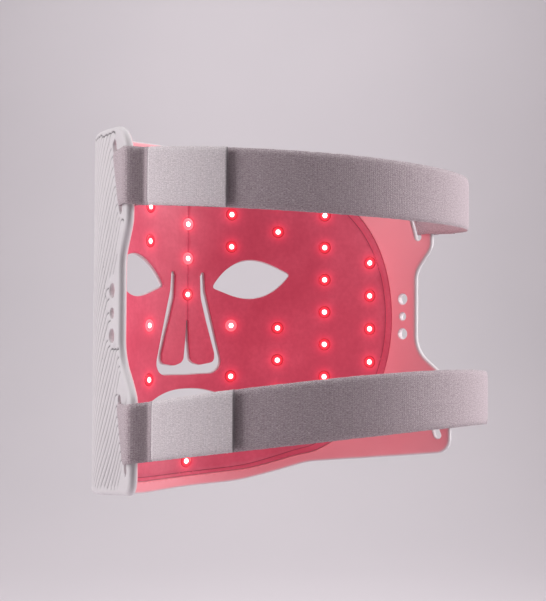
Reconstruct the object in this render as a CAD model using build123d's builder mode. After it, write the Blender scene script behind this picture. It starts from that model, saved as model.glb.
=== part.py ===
from build123d import *
from math import atan2, cos, degrees, hypot, pi, radians, sin
import os

# Flexible silicone LED face mask, in the curve it has when worn.
# +Z is up, the ribbed front faces -Y, and the wearer is on the +Y side with the
# left cheek towards +X. The origin is the nose bridge, on the inner face.
# Positions on the mask are given on its flat pattern: u is the distance round
# the face from the middle line, w the distance out from the inner face, in mm.

# ---- curve of the face wall, as (arc length, radius); minus turns outwards
BROW_ARC = (45.0, 89.2)
CHEEK_ARC = (60.0, 99.6)
TEMPLE_ARC = (30.0, 78.4)
WING_ARC = (60.0, -142.9)
FACE_TRACK = (BROW_ARC, CHEEK_ARC, TEMPLE_ARC, WING_ARC)

# ---- silicone wall, measured out from the inner face
WALL_OUT = 4.4
FLANGE_IN = 0.6
POCKET_FLOOR = 1.8
PAD_OUT = 1.45
CIRCUIT_IN, CIRCUIT_OUT = 1.5, 1.75
LAYER_GAP = 0.05

# ---- outline of the mask, seen from the side
TOP_Z, BOTTOM_Z = 78.0, -126.2
FRONT_Y = -30.0
BROW_Y, BROW_Z = 46.0, 65.5
TEMPLE_U, TEMPLE_Z = 160.3, 60.5
NOTCH_U = 150.0
NOTCH_TOP_Z, NOTCH_BOTTOM_Z = 9.0, -47.0
JAW_U, JAW_TOP_Z, JAW_BOTTOM_Z = 171.6, -59.0, -99.5

# ---- lit pad on the inner face
PAD_CENTRE_Y, PAD_CENTRE_Z = -15.3, -23.6
PAD_REACH, PAD_RISE = 96.0, 97.0
PAD_MARGIN = 5.5
PAD_TOP_Z = 68.5
SEAL_GROOVE_INSET, SEAL_GROOVE_WIDTH, SEAL_GROOVE_DEPTH = 3.6, 0.7, 0.45

# ---- openings
EYE_U = 41.5
EYE_INNER, EYE_TOP = (-24.1, -5.7), (0.3, 11.6)
EYE_OUTER, EYE_BOTTOM = (24.2, 3.0), (-1.1, -11.9)
MOUTH_HALF_WIDTH, MOUTH_MID_Z = 33.0, -77.0
MOUTH_TOP_Z, MOUTH_BOTTOM_Z = -67.1, -88.5
WING_HOLE_U, WING_HOLE_MID_Z, WING_HOLE_PITCH = 140.8, -22.7, 10.2
WING_HOLE_R, WING_HOLE_MID_R = 3.25, 2.45

# ---- nose flap: a tongue under the bridge that ends in two lobes
NOSE_TOP_Z, LOBE_TOP_Z = 1.6, -26.0
FLAP_GAP = 0.35
TONGUE_TOP_HALF, TONGUE_LOW_HALF = 9.1, 13.3
LOBE_HALF, LOBE_WIDE_Z, LOBE_LOW_Z = 18.9, -46.0, -53.2
SLIT_HALF = 0.4
SLOT_TOP_HALF, SLOT_MID_HALF, SLOT_LOW_HALF = 11.7, 16.6, 23.2
SLOT_LOW_Z = -58.0

# ---- wing flex line
FLEX_U = 102.0
FLEX_GAP = 0.3

# ---- light emitting diodes
LED_PITCH = 20.0
LED_COLUMN_U = 29.35
LED_LONG, LED_WIDE, LED_TALL = 3.5, 2.8, 0.9
WINDOW_R, WINDOW_THICK = 3.7, 0.38
WELL_R, WELL_SEAT_R = 2.6, 3.8
ODD_ROW_Z, EVEN_ROW_Z = 59.8, 49.7

# ---- straps
STRAP_WIDE, STRAP_THICK = 25.0, 1.5
STRAP_INSIDE_W = -0.45
STRAP_OUTSIDE_W = 5.45
STRAP_BEND_R = 14.0
SLOT_WIDE, SLOT_LONG = 4.4, 36.0
UPPER = dict(
    slot_u=146.6, slot_z=38.5, lean=17.0, rim_u=TEMPLE_U, leave_u=151.5,
    z=37.2, level_y=106.0, rise=-0.085, back_y=183.5, tab=38.0)
LOWER = dict(
    slot_u=158.2, slot_z=-75.5, lean=21.0, rim_u=JAW_U - 0.5, leave_u=163.0,
    z=-74.3, level_y=112.0, rise=0.192, back_y=194.0, tab=37.5)
SEWN_LENGTH = 17.0
TAB_LIFT = 2.7
PATCH_LENGTH, PATCH_THICK = 24.0, 0.8
JOIN_GAP = 0.4

# ---- power port under the chin, on the wearer's left
PORT_U, PORT_BASE_Z = 19.0, -125.2
PORT_WIDE, PORT_DEEP, PORT_TALL = 15.0, 6.6, 17.0
SOCKET_WIDE, SOCKET_DEEP, SOCKET_TALL, SOCKET_WALL = 9.4, 3.6, 8.0, 0.35

REACH = 300.0
os.makedirs("parts", exist_ok=True)


def on_track(track, s, w, start=(0.0, 0.0), heading=0.0):
    """Point and heading at distance s on a chain of arcs, offset w to its right."""
    x, y = start
    h = radians(heading)
    left = s
    for length, radius in track:
        step = min(left, length)
        x += radius * (sin(h + step / radius) - sin(h))
        y += radius * (cos(h) - cos(h + step / radius))
        h += step / radius
        left -= step
        if left <= 1e-9:
            break
    return (x + w * sin(h), y - w * cos(h)), degrees(h)


def wall(u, w=0.0):
    (x, y), _ = on_track(FACE_TRACK, abs(u), w)
    return (x if u >= 0 else -x, y)


def wall_y(u):
    return wall(u)[1]


def wall_plane(u, z, w=0.0):
    """Plane on the wall: x runs along u, y up, and its normal points outwards."""
    (x, y), h = on_track(FACE_TRACK, abs(u), w)
    side = 1 if u >= 0 else -1
    h = radians(h)
    return Plane(
        origin=(side * x, y, z),
        x_dir=(cos(h), side * sin(h), 0),
        z_dir=(side * sin(h), -cos(h), 0),
    )


def breaks(track, s0, s1):
    marks = [s0]
    reach = 0.0
    for length, _ in track:
        reach += length
        if s0 + 1e-6 < reach < s1 - 1e-6:
            marks.append(reach)
    return marks + [s1]


def ribbon(track, s0, s1, w0, w1, **where):
    """Draw the closed outline between two offsets of a chain of arcs."""
    def at(s, w):
        return on_track(track, s, w, **where)[0]

    marks = breaks(track, s0, s1)
    with BuildLine() as line:
        for a, b in zip(marks, marks[1:]):
            for w in (w0, w1):
                ThreePointArc(at(a, w), at((a + b) / 2, w), at(b, w))
        Line(at(s0, w0), at(s0, w1))
        Line(at(s1, w0), at(s1, w1))
    make_face(line.edges())


def wall_solid(w0, w1, u_end, u_start=0.0, both=True):
    """Stand the wall between two offsets up, from u_start to u_end."""
    with BuildSketch(Plane.XY.offset(-REACH / 2)) as plan:
        ribbon(FACE_TRACK, u_start, u_end, w0, w1)
        if both:
            mirror(about=Plane.YZ)
    extrude(plan.sketch, amount=REACH)


def profile_points():
    """Side outline of the mask as corners (y, z) with the radius of each."""
    return [
        ((FRONT_Y, TOP_Z), 0), ((1.0, TOP_Z - 0.3), 30), ((BROW_Y, BROW_Z), 60),
        ((wall_y(TEMPLE_U), TEMPLE_Z), 20),
        ((wall_y(TEMPLE_U), NOTCH_TOP_Z + 8.0), 9), ((wall_y(NOTCH_U), NOTCH_TOP_Z - 6.0), 14),
        ((wall_y(NOTCH_U), NOTCH_BOTTOM_Z + 5.0), 18), ((wall_y(JAW_U), JAW_TOP_Z), 9),
        ((wall_y(JAW_U), JAW_BOTTOM_Z), 9), ((62.0, -108.9), 60),
        ((31.0, -113.4), 30), ((5.0, -125.6), 20), ((FRONT_Y, BOTTOM_Z), 0),
    ]


def side_profile(grow=0.0):
    """Side outline of the mask, closed in front of the face."""
    corners = profile_points()
    with BuildLine() as line:
        path = FilletPolyline(
            *[p for p, _ in corners], radius=[r for _, r in corners[1:-1]])
        Line(path @ 1, path @ 0)
    make_face(line.edges())
    if grow:
        offset(amount=grow)


def pad_profile(grow=0.0):
    """Side outline of the lit pad: the mask's own, set in, behind a round edge."""
    side_profile(grow - PAD_MARGIN)
    with Locations((PAD_CENTRE_Y, PAD_CENTRE_Z)):
        Ellipse(PAD_REACH + grow, PAD_RISE + grow, mode=Mode.INTERSECT)
    with Locations((0, PAD_TOP_Z + grow - REACH)):
        Rectangle(REACH, 2 * REACH, mode=Mode.INTERSECT)


def keep_inside(profile, *args):
    with BuildSketch(Plane.YZ.offset(-REACH / 2)) as side_view:
        profile(*args)
    extrude(side_view.sketch, amount=REACH, mode=Mode.INTERSECT)


def eye(clear=0.0):
    """Eye opening; with clear, a plain oval that stands that far outside it."""
    inner, top, outer, bottom = EYE_INNER, EYE_TOP, EYE_OUTER, EYE_BOTTOM
    if clear:
        Ellipse((outer[0] - inner[0]) / 2 + clear, (top[1] - bottom[1]) / 2 + clear)
        return
    with BuildLine() as line:
        Bezier(inner, (-19.0, 3.0), (-10.0, top[1]), top)
        Bezier(top, (9.0, top[1]), (17.0, 6.5), outer)
        Bezier(outer, (18.0, -5.4), (10.0, bottom[1]), bottom)
        Bezier(bottom, (-10.0, bottom[1]), (-17.0, -7.6), inner)
    make_face(line.edges())
    fillet(vertices().sort_by(Axis.X)[0], radius=1.2)
    fillet(vertices().sort_by(Axis.X)[-1], radius=1.5)


def mouth(clear=0.0):
    """Mouth opening; with clear, a plain oval that stands that far outside it."""
    w, m = MOUTH_HALF_WIDTH, MOUTH_MID_Z
    if clear:
        with Locations((0, (MOUTH_TOP_Z + MOUTH_BOTTOM_Z) / 2)):
            Ellipse(w + clear, (MOUTH_TOP_Z - MOUTH_BOTTOM_Z) / 2 + clear)
        return
    with BuildLine() as line:
        Bezier((-w, m), (-w * 0.6, MOUTH_TOP_Z - 1.5), (-w * 0.3, MOUTH_TOP_Z), (0, MOUTH_TOP_Z))
        Bezier((0, MOUTH_TOP_Z), (w * 0.3, MOUTH_TOP_Z), (w * 0.6, MOUTH_TOP_Z - 1.5), (w, m))
        Bezier((w, m), (w * 0.7, MOUTH_BOTTOM_Z + 2), (w * 0.4, MOUTH_BOTTOM_Z), (0, MOUTH_BOTTOM_Z))
        Bezier((0, MOUTH_BOTTOM_Z), (-w * 0.4, MOUTH_BOTTOM_Z), (-w * 0.7, MOUTH_BOTTOM_Z + 2), (-w, m))
    make_face(line.edges())
    fillet(vertices().sort_by(Axis.X)[0], radius=1.5)
    fillet(vertices().sort_by(Axis.X)[-1], radius=1.5)


def nose(clear=0.0):
    """Outer edge of the slot round the nose flap."""
    right = [
        (SLOT_TOP_HALF, NOSE_TOP_Z), (SLOT_TOP_HALF + 0.4, -8.0),
        (SLOT_MID_HALF, LOBE_TOP_Z), (SLOT_LOW_HALF + 0.8, -50.5),
        (19.0, SLOT_LOW_Z + 0.2), (0.0, SLOT_LOW_Z)]
    left = [(-x, z) for x, z in reversed(right[:-1])]
    with BuildLine() as line:
        path = FilletPolyline(*right, *left, radius=[14, 30, 6, 6, 30, 6, 6, 30, 14])
        Line(path @ 1, path @ 0)
    make_face(line.edges())
    if clear:
        offset(amount=clear)


def tongue_outline():
    low = LOBE_TOP_Z
    with BuildLine() as line:
        Polyline(
            (TONGUE_TOP_HALF, NOSE_TOP_Z - FLAP_GAP), (TONGUE_TOP_HALF + 0.5, -12.0),
            (TONGUE_LOW_HALF, low), (-TONGUE_LOW_HALF, low),
            (-TONGUE_TOP_HALF - 0.5, -12.0), (-TONGUE_TOP_HALF, NOSE_TOP_Z - FLAP_GAP), close=True)
    make_face(line.edges())


def lobe_outline(side):
    top = LOBE_TOP_Z - FLAP_GAP
    corners = [
        (SLIT_HALF, top), (TONGUE_LOW_HALF, top), (LOBE_HALF + 0.2, LOBE_WIDE_Z),
        (LOBE_HALF, LOBE_LOW_Z + 1.6), (9.0, LOBE_LOW_Z), (2.6, LOBE_LOW_Z + 1.2),
        (SLIT_HALF, LOBE_WIDE_Z + 6.0)]
    radii = [0, 1, 4, 6, 4, 3, 0]
    with BuildLine() as line:
        path = FilletPolyline(*[(side * x, z) for x, z in corners], radius=radii[1:-1])
        Line(path @ 1, path @ 0)
    make_face(line.edges())


FACE_CUT = Plane((0, -30, 0), x_dir=(1, 0, 0), z_dir=(0, -1, 0))


def through_face(draw, *args, depth=80.0):
    """Cut straight back through the front of the face."""
    with BuildSketch(FACE_CUT) as front_view:
        draw(*args)
    extrude(front_view.sketch, amount=-depth, mode=Mode.SUBTRACT)


def mirror_here():
    """Swap the sketch drawn so far for its mirror image."""
    shape = mirror(about=Plane.YZ, mode=Mode.PRIVATE)
    add(shape, mode=Mode.REPLACE)


def strap_slots():
    """Leaning slots for the two straps, through both wings."""
    with BuildSketch(Plane.YZ.offset(-REACH / 2)) as slots:
        for s in (UPPER, LOWER):
            with Locations(Location((wall_y(s["slot_u"]), s["slot_z"]), 90 + s["lean"])):
                SlotOverall(SLOT_LONG, SLOT_WIDE)
    extrude(slots.sketch, amount=REACH, mode=Mode.SUBTRACT)


def wing_holes():
    for step, r in ((1, WING_HOLE_R), (0, WING_HOLE_MID_R), (-1, WING_HOLE_R)):
        discs([(WING_HOLE_U, WING_HOLE_MID_Z + step * WING_HOLE_PITCH)], r, -4, 10, Mode.SUBTRACT)


def led_rows():
    """Every diode as (u, z), by the column that it is wired in."""
    odd = [ODD_ROW_Z - LED_PITCH * i for i in range(9)]
    even = [EVEN_ROW_Z - LED_PITCH * i for i in range(8)]
    one, two, three, four = (LED_COLUMN_U * k for k in (1, 2, 3, 4))
    return {
        "centre": [(0.0, 52.8), (0.0, 32.1), (0.0, 11.4), (0.0, -110.1)],
        "column_1": [(one, odd[0]), (one, odd[1]), (one, odd[2]), (one, -28.9),
                     (one, odd[6]), (one, -100.2)],
        "column_2": [(two, even[0]), (two, even[1])] + [(two, z) for z in even[4:8]],
        "column_3": [(three, z) for z in odd[1:8]],
        "column_4": [(four, z) for z in even[2:6]],
    }


def is_deep(u, z):
    """The four diodes of the deeper wavelength have ringed windows."""
    return (u == 0.0 and 0 < z < 40) or (abs(abs(u) - LED_COLUMN_U) < 0.1 and z == -28.9)


NOSE_LED = (0.0, -10.3)
COLUMNS = led_rows()
MIDDLE = COLUMNS["centre"]
FACE_LEDS = MIDDLE + [
    (side * u, z) for name in ("column_1", "column_2", "column_3")
    for u, z in COLUMNS[name] for side in (1, -1)]


def discs(places, r, w0, w1, mode=Mode.ADD):
    for u, z in places:
        with BuildSketch(wall_plane(u, z, w0)) as disc:
            Circle(r)
        extrude(disc.sketch, amount=w1 - w0, mode=mode)


def led_wells(places):
    discs(places, WELL_R, -1.0, PAD_OUT + 1.0, Mode.SUBTRACT)
    discs(places, WELL_SEAT_R, -1.0, 0.5, Mode.SUBTRACT)


def save(builder, name):
    builder.part.label = name
    export_step(builder.part, f"parts/{name}.step")


def led_node(places, name):
    with BuildPart() as leds:
        for u, z in places:
            with BuildSketch(wall_plane(u, z, CIRCUIT_IN - LAYER_GAP - LED_TALL)):
                Rectangle(LED_WIDE, LED_LONG)
            extrude(amount=LED_TALL)
    save(leds, name)


def window_node(places, name):
    with BuildPart() as windows:
        discs(places, WINDOW_R, 0.08, 0.08 + WINDOW_THICK)
    save(windows, name)


def openings_in_face(clear=0.0):
    for side in (1, -1):
        with BuildSketch(wall_plane(side * EYE_U, 0, -14)) as opening:
            eye(clear)
            if side == -1:
                mirror_here()
        extrude(opening.sketch, amount=34, mode=Mode.SUBTRACT)
    through_face(nose, clear)
    through_face(mouth, clear)


# ---- ribbed outer shell of soft silicone, in three lengths that flex
def pocket_cut(u_start, u_end, both):
    with BuildPart(mode=Mode.PRIVATE) as pocket:
        wall_solid(-6.0, POCKET_FLOOR, u_end, u_start, both)
        keep_inside(pad_profile, 0.2)
    add(pocket.part, mode=Mode.SUBTRACT)


with BuildPart() as shell_face:
    wall_solid(FLANGE_IN, WALL_OUT, FLEX_U - FLEX_GAP / 2)
    keep_inside(side_profile)
    pocket_cut(0.0, FLEX_U, True)
    openings_in_face()
    # seat for the power port in the chin
    with Locations(wall_plane(PORT_U, PORT_BASE_Z, WALL_OUT)):
        Box(PORT_WIDE + 0.2, 2 * PORT_TALL + 0.2, 2.4, mode=Mode.SUBTRACT)
save(shell_face, "shell_face")


def wing_shell(side):
    with BuildPart() as shell:
        wall_solid(FLANGE_IN, WALL_OUT, JAW_U + 8, FLEX_U + FLEX_GAP / 2, False)
        keep_inside(side_profile)
        pocket_cut(FLEX_U - 1, JAW_U + 8, False)
        strap_slots()
        wing_holes()
        if side < 0:
            mirror(about=Plane.YZ, mode=Mode.REPLACE)
    return shell


for side, name in ((1, "left"), (-1, "right")):
    save(wing_shell(side), f"shell_{name}_wing")


# ---- translucent lit pad, with a seal groove just inside its edge
def groove_cut(u_start, u_end, both):
    with BuildPart(mode=Mode.PRIVATE) as groove:
        wall_solid(-1.0, SEAL_GROOVE_DEPTH, u_end, u_start, both)
        keep_inside(pad_profile, -SEAL_GROOVE_INSET)
        with BuildSketch(Plane.YZ.offset(-REACH / 2)):
            pad_profile(-SEAL_GROOVE_INSET - SEAL_GROOVE_WIDTH)
        extrude(amount=REACH, mode=Mode.SUBTRACT)
    add(groove.part, mode=Mode.SUBTRACT)


with BuildPart() as pad_face:
    wall_solid(0.0, PAD_OUT, FLEX_U - FLEX_GAP / 2)
    keep_inside(pad_profile)
    groove_cut(0.0, FLEX_U, True)
    openings_in_face()
    led_wells(FACE_LEDS)
save(pad_face, "pad_face")

with BuildPart() as circuit_face:
    wall_solid(CIRCUIT_IN, CIRCUIT_OUT, FLEX_U - FLEX_GAP / 2)
    keep_inside(pad_profile, -6.0)
    openings_in_face(3.0)
save(circuit_face, "circuit_face")


def wing_layer(side, w0, w1, grow, leds):
    with BuildPart() as layer:
        wall_solid(w0, w1, JAW_U, FLEX_U + FLEX_GAP / 2, False)
        keep_inside(pad_profile, grow)
        if leds:
            groove_cut(FLEX_U - 1, JAW_U, False)
            led_wells(COLUMNS["column_4"])
        if side < 0:
            mirror(about=Plane.YZ, mode=Mode.REPLACE)
    return layer


for side, name in ((1, "left"), (-1, "right")):
    wing_leds = [(side * u, z) for u, z in COLUMNS["column_4"]]
    save(wing_layer(side, 0.0, PAD_OUT, 0.0, True), f"pad_{name}_wing")
    save(wing_layer(side, CIRCUIT_IN, CIRCUIT_OUT, -6.0, False), f"circuit_{name}_wing")
    led_node(wing_leds, f"leds_{name}_column_4")
    window_node(wing_leds, f"windows_{name}_wing")
    for column in ("column_1", "column_2", "column_3"):
        led_node([(side * u, z) for u, z in COLUMNS[column]], f"leds_{name}_{column}")

led_node(MIDDLE, "leds_centre")
window_node([p for p in FACE_LEDS if not is_deep(*p)], "windows_face")
window_node([p for p in FACE_LEDS if is_deep(*p)], "windows_ringed")


# ---- nose flap: tongue and two lobes, each a piece of shell and a piece of pad
def flap_piece(w0, w1, draw, *args):
    with BuildPart() as piece:
        wall_solid(w0, w1, 45.0)
        with BuildSketch(FACE_CUT):
            draw(*args)
        extrude(amount=-80, mode=Mode.INTERSECT)
    return piece


save(flap_piece(POCKET_FLOOR, WALL_OUT, tongue_outline), "tongue_shell")
with BuildPart() as tongue_pad:
    wall_solid(0.0, PAD_OUT, 45.0)
    with BuildSketch(FACE_CUT):
        tongue_outline()
    extrude(amount=-80, mode=Mode.INTERSECT)
    led_wells([NOSE_LED])
save(tongue_pad, "tongue_pad")
with BuildPart() as tongue_circuit:
    wall_solid(CIRCUIT_IN, CIRCUIT_OUT, 45.0)
    with BuildSketch(FACE_CUT):
        with Locations((0, -9.0)):
            Rectangle(9.0, 18.0)
    extrude(amount=-80, mode=Mode.INTERSECT)
save(tongue_circuit, "tongue_circuit")
led_node([NOSE_LED], "led_nose")
window_node([NOSE_LED], "window_nose")
for side, name in ((1, "left"), (-1, "right")):
    save(flap_piece(POCKET_FLOOR, WALL_OUT, lobe_outline, side), f"lobe_shell_{name}")
    save(flap_piece(0.0, PAD_OUT, lobe_outline, side), f"lobe_pad_{name}")


# ---- straps: each runs inside the wing, out through its slot, back over the
# bar behind the slot, and down on to itself behind the rim
def add_loop(s):
    """Fit the loop round the back of the head to the place where it leaves the wing."""
    (px, py), h = on_track(FACE_TRACK, s["leave_u"], STRAP_INSIDE_W)
    cx = px - STRAP_BEND_R * sin(radians(h))
    cy = py + STRAP_BEND_R * cos(radians(h))
    reach = s["back_y"] - STRAP_BEND_R
    s["loop_y"] = (reach**2 - cx**2 - cy**2) / (2 * (reach - cy))
    s["loop_r"] = s["back_y"] - s["loop_y"]
    s["loop_start"] = degrees(atan2(cy - s["loop_y"], cx))
    s["leave"], s["heading"] = (px, py), h
    s["bend"] = ((radians(s["loop_start"] + 90 - h) * STRAP_BEND_R, STRAP_BEND_R),)


add_loop(UPPER)
add_loop(LOWER)
HALF = STRAP_THICK / 2


def loop_point(s, angle, lift=0.0):
    r = s["loop_r"] + lift
    return (r * cos(radians(angle)), s["loop_y"] + r * sin(radians(angle)))


def loop_ribbon(s, a0, a1, w0, w1):
    """Part of the loop round the head, between two angles and two offsets."""
    with BuildLine() as line:
        for w in (w0, w1):
            ThreePointArc(
                loop_point(s, a0, w), loop_point(s, (a0 + a1) / 2, w), loop_point(s, a1, w))
        Line(loop_point(s, a0, w0), loop_point(s, a0, w1))
        Line(loop_point(s, a1, w0), loop_point(s, a1, w1))
    make_face(line.edges())


def strap_side(s, from_slot):
    """Side outline of a strap; it narrows to nothing where it enters its slot."""
    def mid(y):
        return s["z"] + s["rise"] * (max(y, s["level_y"]) - s["level_y"])

    slot_y = wall_y(s["slot_u"])
    lean = sin(radians(s["lean"])) / cos(radians(s["lean"]))

    def front(z):
        return slot_y - lean * (z - s["slot_z"]) - HALF if from_slot else 80.0

    low, high = mid(0) - STRAP_WIDE / 2, mid(0) + STRAP_WIDE / 2
    end = s["back_y"] + 20
    with BuildLine() as line:
        Polyline(
            (front(low), low), (s["level_y"], low), (end, mid(end) - STRAP_WIDE / 2),
            (end, mid(end) + STRAP_WIDE / 2), (s["level_y"], high), (front(high), high),
            close=True)
    make_face(line.edges())


def crossing_side(s):
    """Side outline of the stretch of strap inside its slot."""
    slot_y = wall_y(s["slot_u"])
    lean = sin(radians(s["lean"])) / cos(radians(s["lean"]))
    low, high = s["z"] - STRAP_WIDE / 2, s["z"] + STRAP_WIDE / 2

    def at(z, shift):
        return (slot_y - lean * (z - s["slot_z"]) + shift, z)

    with BuildLine() as line:
        Polyline(at(low, -HALF), at(low, HALF), at(high, HALF), at(high, -HALF), close=True)
    make_face(line.edges())


def landing_angle(s):
    """Angle on the loop where the strap comes down behind the rim."""
    (x, y), _ = on_track(FACE_TRACK, s["rim_u"] + 1.6, 0.0)
    return degrees(atan2(y - s["loop_y"], x)) + 1.2


def outer_path(s, lift):
    """Way of the strap over the bar, round the rim and on to the loop."""
    u0, u1 = s["slot_u"] - 9.0, s["rim_u"] + 1.6
    a = on_track(FACE_TRACK, u0, STRAP_OUTSIDE_W)[0]
    b = on_track(FACE_TRACK, (u0 + u1) / 2, STRAP_OUTSIDE_W)[0]
    c = on_track(FACE_TRACK, u1, STRAP_OUTSIDE_W)[0]
    turn = landing_angle(s)
    return a, b, c, loop_point(s, turn, lift), loop_point(s, turn + 2.0, lift)


def strap_end(s, reach_angle, lift, tail_angle, name, side):
    u0 = s["slot_u"] - 9.0
    # stretch inside the slot, from the inner run to the outer run
    with BuildPart() as crossing:
        with BuildSketch(Plane.XY.offset(-REACH / 2)):
            ribbon(FACE_TRACK, u0, s["rim_u"], STRAP_INSIDE_W, STRAP_OUTSIDE_W)
        extrude(amount=REACH)
        keep_inside(crossing_side, s)
    with BuildPart() as strap:
        # inner run, from the slot back to where the loop is joined
        with BuildSketch(Plane.XY.offset(-REACH / 2)):
            ribbon(FACE_TRACK, u0, s["leave_u"], STRAP_INSIDE_W - HALF, STRAP_INSIDE_W + HALF)
            ribbon(s["bend"], 0, s["bend"][0][0], -HALF, HALF,
                   start=s["leave"], heading=s["heading"])
            loop_ribbon(s, s["loop_start"], reach_angle, -HALF, HALF)
        extrude(amount=REACH)
        # outer run, over the bar and round the rim
        a, b, c, d, e = outer_path(s, lift)
        with BuildSketch(Plane.XY.offset(-REACH / 2)):
            with BuildLine() as run:
                ThreePointArc(a, b, c)
                FilletPolyline(c, (c[0] + 0.5, c[1] + 1.9), d, e, radius=0.9)
            trace(run.line, line_width=STRAP_THICK)
            if tail_angle:
                loop_ribbon(s, landing_angle(s) + 2.0, tail_angle, lift - HALF, lift + HALF)
        extrude(amount=REACH)
        keep_inside(strap_side, s, True)
        add(crossing.part)
        if side < 0:
            mirror(about=Plane.YZ, mode=Mode.REPLACE)
    save(strap, name)


def angle_for(s, length):
    return degrees(length / s["loop_r"])


for s, level in ((UPPER, "upper"), (LOWER, "lower")):
    start = landing_angle(s) + 2.0
    tab_end = start + angle_for(s, s["tab"])
    join = tab_end + 2.0
    right_end = start + angle_for(s, SEWN_LENGTH)
    strap_end(s, join, TAB_LIFT, 0, f"{level}_strap_left", 1)
    strap_end(s, join, TAB_LIFT, right_end, f"{level}_strap_right", -1)

    gap = angle_for(s, JOIN_GAP)
    with BuildPart() as band:
        with BuildSketch(Plane.XY.offset(-REACH / 2)):
            loop_ribbon(s, join + gap, 180 - join - gap, -HALF, HALF)
        extrude(amount=REACH)
        keep_inside(strap_side, s, False)
    save(band, f"{level}_strap_back")

    with BuildPart() as tab:
        with BuildSketch(Plane.XY.offset(-REACH / 2)):
            loop_ribbon(s, start + gap, tab_end, TAB_LIFT - HALF, TAB_LIFT + HALF)
        extrude(amount=REACH)
        keep_inside(strap_side, s, False)
    save(tab, f"{level}_tab")

    with BuildPart() as patch:
        top = TAB_LIFT - HALF - LAYER_GAP
        first = tab_end - angle_for(s, PATCH_LENGTH)
        with BuildSketch(Plane.XY.offset(-REACH / 2)):
            loop_ribbon(s, first, tab_end - angle_for(s, 1.5), top - PATCH_THICK, top)
        extrude(amount=REACH)
        keep_inside(strap_side, s, False)
    save(patch, f"{level}_hook_patch")

    # box of stitches that holds the sewn end on the right
    with BuildPart() as stitches:
        face = TAB_LIFT + HALF + LAYER_GAP
        a0, a1 = 180 - right_end + angle_for(s, 2.5), 180 - right_end + angle_for(s, 12.5)
        with BuildSketch(Plane.XY.offset(-REACH / 2)):
            loop_ribbon(s, a0, a1, face, face + 0.35)
        extrude(amount=REACH)
        y_mid = loop_point(s, (a0 + a1) / 2)[1]
        z_mid = s["z"] + s["rise"] * (y_mid - s["level_y"])
        with BuildSketch(Plane.YZ.offset(-REACH / 2)):
            with Locations((y_mid, z_mid)):
                Rectangle(20, STRAP_WIDE - 5)
                with Locations((0, 0)):
                    Rectangle(8.4, STRAP_WIDE - 6.4, mode=Mode.SUBTRACT)
        extrude(amount=REACH, mode=Mode.INTERSECT)
    save(stitches, f"{level}_stitches")


# ---- power port: a moulded boss on the chin with a metal socket and contacts
PORT = wall_plane(PORT_U, PORT_BASE_Z, WALL_OUT)
with BuildPart() as port_housing:
    with Locations(PORT):
        with Locations((0, PORT_TALL / 2, PORT_DEEP / 2 - 1.2)):
            Box(PORT_WIDE, PORT_TALL, PORT_DEEP)
    up = port_housing.part.edges().filter_by(Axis.Z).group_by(Axis.Y)[0]
    fillet(up, radius=2.6)
    fillet(port_housing.part.faces().sort_by(Axis.Z)[-1].edges(), radius=1.4)
    with Locations(PORT):
        with Locations((0, SOCKET_TALL / 2, PORT_DEEP / 2 - 0.9)):
            Box(SOCKET_WIDE, SOCKET_TALL, SOCKET_DEEP, mode=Mode.SUBTRACT)
save(port_housing, "port_housing")

with BuildPart() as port_socket:
    with Locations(PORT):
        with Locations((0, SOCKET_TALL / 2, PORT_DEEP / 2 - 0.9)):
            Box(SOCKET_WIDE - 0.04, SOCKET_TALL - 0.04, SOCKET_DEEP - 0.04)
            with Locations((0, -SOCKET_WALL, 0)):
                Box(SOCKET_WIDE - 2 * SOCKET_WALL, SOCKET_TALL, SOCKET_DEEP - 2 * SOCKET_WALL,
                    mode=Mode.SUBTRACT)
save(port_socket, "port_socket")

with BuildPart() as port_contacts:
    with Locations(PORT):
        with Locations((0, SOCKET_TALL / 2 + 0.9, PORT_DEEP / 2 - 0.9)):
            Box(6.4, SOCKET_TALL - 3.2, 0.7)
            with GridLocations(1.2, 1, 5, 1):
                with Locations((0, 0, 0.425)):
                    Box(0.6, SOCKET_TALL - 4.0, 0.15)
save(port_contacts, "port_contacts")
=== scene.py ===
import math

import bpy
import numpy as np
from mathutils import Matrix, Vector
from mathutils.geometry import delaunay_2d_cdt
from mathutils.kdtree import KDTree


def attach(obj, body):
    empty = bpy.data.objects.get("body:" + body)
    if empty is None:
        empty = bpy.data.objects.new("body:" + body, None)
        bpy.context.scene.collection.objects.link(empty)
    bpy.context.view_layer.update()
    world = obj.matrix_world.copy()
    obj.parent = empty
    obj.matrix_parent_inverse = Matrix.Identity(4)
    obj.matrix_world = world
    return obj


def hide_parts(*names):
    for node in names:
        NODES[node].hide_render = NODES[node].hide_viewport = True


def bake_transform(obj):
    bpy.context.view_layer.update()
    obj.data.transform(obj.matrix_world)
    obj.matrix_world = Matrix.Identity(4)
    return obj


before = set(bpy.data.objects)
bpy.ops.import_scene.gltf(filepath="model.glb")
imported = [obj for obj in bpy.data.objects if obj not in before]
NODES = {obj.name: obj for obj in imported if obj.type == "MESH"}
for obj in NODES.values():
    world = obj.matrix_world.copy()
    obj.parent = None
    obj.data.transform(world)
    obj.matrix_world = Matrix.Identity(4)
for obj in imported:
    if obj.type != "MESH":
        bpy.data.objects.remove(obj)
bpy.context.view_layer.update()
MM = 0.001
rng = np.random.default_rng(7)

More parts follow.
